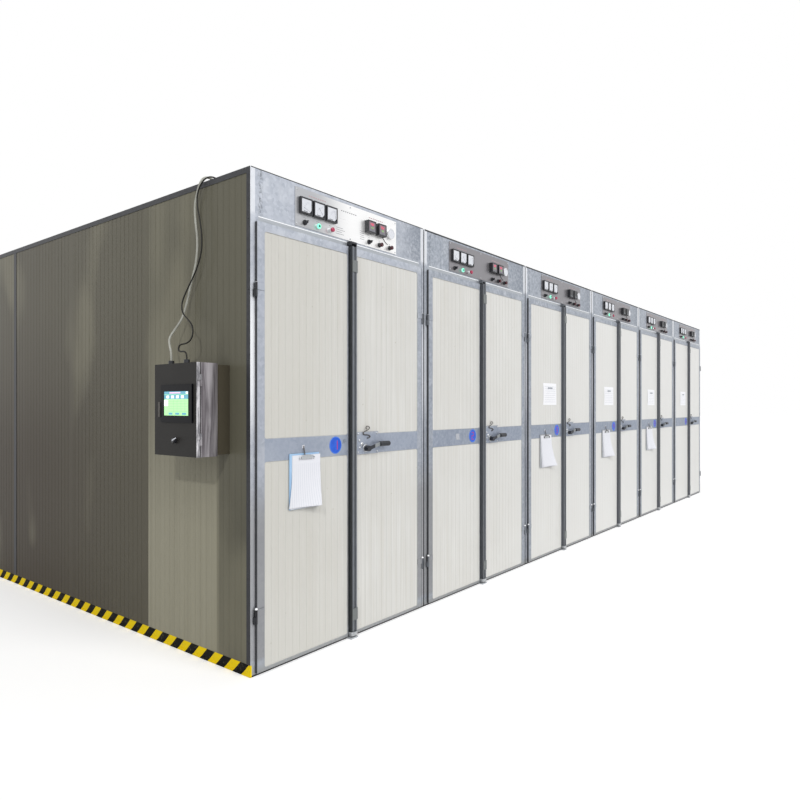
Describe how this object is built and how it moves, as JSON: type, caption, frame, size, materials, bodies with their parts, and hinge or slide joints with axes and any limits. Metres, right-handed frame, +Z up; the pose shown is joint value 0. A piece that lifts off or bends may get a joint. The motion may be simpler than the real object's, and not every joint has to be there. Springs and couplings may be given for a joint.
{
  "type": "row of curing chambers",
  "caption": "Row of insulated curing chambers with framed double doors, lever latches, instrument plates in the header and a control box on the end wall.",
  "frame": {"origin": "on the ground, in the middle of the row's length, on the centre line of the front sill bar", "axes": "+X along the row, to the right as seen from the front; +Y into the chambers; +Z up"},
  "size_m": [9.206, 3.8653, 2.7082],
  "materials": {
    "galvanised_steel": "spangled galvanised sheet",
    "head_rail_steel": "bright galvanised angle",
    "cream_panel": "coil coated, ribbed",
    "taupe_panel": "coil coated, semi gloss",
    "trim_steel": "dark painted angle",
    "stainless_plate": "brushed",
    "black_plastic": "moulded",
    "white_face": "printed",
    "red_plastic": "moulded",
    "green_lens": "lit lens",
    "dial_rim": "plated",
    "hazard_tape": "black and yellow adhesive tape",
    "hinge_steel": "dark steel",
    "dark_steel": "dark painted steel",
    "box_steel": "stainless side sheets",
    "box_door_steel": "dark grey powder coat",
    "screen_bezel": "moulded",
    "lever_black": "moulded grip on a dark arm",
    "cable_grey": "pvc sheath",
    "cable_black": "pvc sheath",
    "gland_plastic": "moulded"
  },
  "bodies": {
    "root": {"sill_bars": "galvanised_steel", "cross_bars": "galvanised_steel", "front_posts": "galvanised_steel", "head_rails": "head_rail_steel", "lintel_panels": "cream_panel", "header_sheets": "galvanised_steel", "instrument_plates": "stainless_plate", "meter_cases": "black_plastic", "instrument_faces": "white_face", "controllers": "black_plastic", "round_dials": "dial_rim", "selector_switches": "black_plastic", "push_buttons": "red_plastic", "lamps": "green_lens", "left_end_wall": "taupe_panel", "right_end_wall": "taupe_panel", "partition_walls": "taupe_panel", "back_walls": "taupe_panel", "roof_panels": "taupe_panel", "wall_trims": "trim_steel", "hazard_tape": "hazard_tape", "frame_hinges": "hinge_steel", "keepers": "dark_steel", "control_box": "box_steel", "grey_cable": "cable_grey", "black_cable": "cable_black", "cable_glands": "gland_plastic"},
    "control_box_door": {"control_box_door": "box_door_steel", "touch_screen": "screen_bezel"},
    "left_leaf_1": {"leaf_frame_1_left": "galvanised_steel", "leaf_panels_1_left": "cream_panel"},
    "right_leaf_1": {"leaf_frame_1_right": "galvanised_steel", "leaf_panels_1_right": "cream_panel"},
    "latch_lever_1": {"latch_lever_1": "lever_black"},
    "left_leaf_2": {"leaf_frame_2_left": "galvanised_steel", "leaf_panels_2_left": "cream_panel"},
    "right_leaf_2": {"leaf_frame_2_right": "galvanised_steel", "leaf_panels_2_right": "cream_panel"},
    "latch_lever_2": {"latch_lever_2": "lever_black"},
    "left_leaf_3": {"leaf_frame_3_left": "galvanised_steel", "leaf_panels_3_left": "cream_panel"},
    "right_leaf_3": {"leaf_frame_3_right": "galvanised_steel", "leaf_panels_3_right": "cream_panel"},
    "latch_lever_3": {"latch_lever_3": "lever_black"},
    "left_leaf_4": {"leaf_frame_4_left": "galvanised_steel", "leaf_panels_4_left": "cream_panel"},
    "right_leaf_4": {"leaf_frame_4_right": "galvanised_steel", "leaf_panels_4_right": "cream_panel"},
    "latch_lever_4": {"latch_lever_4": "lever_black"},
    "left_leaf_5": {"leaf_frame_5_left": "galvanised_steel", "leaf_panels_5_left": "cream_panel"},
    "right_leaf_5": {"leaf_frame_5_right": "galvanised_steel", "leaf_panels_5_right": "cream_panel"},
    "latch_lever_5": {"latch_lever_5": "lever_black"},
    "left_leaf_6": {"leaf_frame_6_left": "galvanised_steel", "leaf_panels_6_left": "cream_panel"},
    "right_leaf_6": {"leaf_frame_6_right": "galvanised_steel", "leaf_panels_6_right": "cream_panel"},
    "latch_lever_6": {"latch_lever_6": "lever_black"}
  },
  "joints": [
    {"name": "control_box_hinge", "type": "hinge", "parent": "root", "child": "control_box_door", "pos_m": [-4.6735, 0.133, 1.36], "axis": [0, 0, 1], "range_deg": [0, 110]},
    {"name": "left_leaf_hinge_1", "type": "hinge", "parent": "root", "child": "left_leaf_1", "pos_m": [-4.466, -0.039, 1.17], "axis": [0, 0, -1], "range_deg": [0, 85]},
    {"name": "right_leaf_hinge_1", "type": "hinge", "parent": "root", "child": "right_leaf_1", "pos_m": [-3.034, -0.039, 1.17], "axis": [0, 0, 1], "range_deg": [0, 85]},
    {"name": "latch_turn_1", "type": "hinge", "parent": "right_leaf_1", "child": "latch_lever_1", "pos_m": [-3.624, -0.055, 1.122], "axis": [0, -1, 0], "range_deg": [0, 90]},
    {"name": "left_leaf_hinge_2", "type": "hinge", "parent": "root", "child": "left_leaf_2", "pos_m": [-2.966, -0.039, 1.17], "axis": [0, 0, -1], "range_deg": [0, 85]},
    {"name": "right_leaf_hinge_2", "type": "hinge", "parent": "root", "child": "right_leaf_2", "pos_m": [-1.534, -0.039, 1.17], "axis": [0, 0, 1], "range_deg": [0, 85]},
    {"name": "latch_turn_2", "type": "hinge", "parent": "right_leaf_2", "child": "latch_lever_2", "pos_m": [-2.124, -0.055, 1.122], "axis": [0, -1, 0], "range_deg": [0, 90]},
    {"name": "left_leaf_hinge_3", "type": "hinge", "parent": "root", "child": "left_leaf_3", "pos_m": [-1.466, -0.039, 1.17], "axis": [0, 0, -1], "range_deg": [0, 85]},
    {"name": "right_leaf_hinge_3", "type": "hinge", "parent": "root", "child": "right_leaf_3", "pos_m": [-0.034, -0.039, 1.17], "axis": [0, 0, 1], "range_deg": [0, 85]},
    {"name": "latch_turn_3", "type": "hinge", "parent": "right_leaf_3", "child": "latch_lever_3", "pos_m": [-0.624, -0.055, 1.122], "axis": [0, -1, 0], "range_deg": [0, 90]},
    {"name": "left_leaf_hinge_4", "type": "hinge", "parent": "root", "child": "left_leaf_4", "pos_m": [0.034, -0.039, 1.17], "axis": [0, 0, -1], "range_deg": [0, 85]},
    {"name": "right_leaf_hinge_4", "type": "hinge", "parent": "root", "child": "right_leaf_4", "pos_m": [1.466, -0.039, 1.17], "axis": [0, 0, 1], "range_deg": [0, 85]},
    {"name": "latch_turn_4", "type": "hinge", "parent": "right_leaf_4", "child": "latch_lever_4", "pos_m": [0.876, -0.055, 1.122], "axis": [0, -1, 0], "range_deg": [0, 90]},
    {"name": "left_leaf_hinge_5", "type": "hinge", "parent": "root", "child": "left_leaf_5", "pos_m": [1.534, -0.039, 1.17], "axis": [0, 0, -1], "range_deg": [0, 85]},
    {"name": "right_leaf_hinge_5", "type": "hinge", "parent": "root", "child": "right_leaf_5", "pos_m": [2.966, -0.039, 1.17], "axis": [0, 0, 1], "range_deg": [0, 85]},
    {"name": "latch_turn_5", "type": "hinge", "parent": "right_leaf_5", "child": "latch_lever_5", "pos_m": [2.376, -0.055, 1.122], "axis": [0, -1, 0], "range_deg": [0, 90]},
    {"name": "left_leaf_hinge_6", "type": "hinge", "parent": "root", "child": "left_leaf_6", "pos_m": [3.034, -0.039, 1.17], "axis": [0, 0, -1], "range_deg": [0, 85]},
    {"name": "right_leaf_hinge_6", "type": "hinge", "parent": "root", "child": "right_leaf_6", "pos_m": [4.466, -0.039, 1.17], "axis": [0, 0, 1], "range_deg": [0, 85]},
    {"name": "latch_turn_6", "type": "hinge", "parent": "right_leaf_6", "child": "latch_lever_6", "pos_m": [3.876, -0.055, 1.122], "axis": [0, -1, 0], "range_deg": [0, 90]}
  ]
}
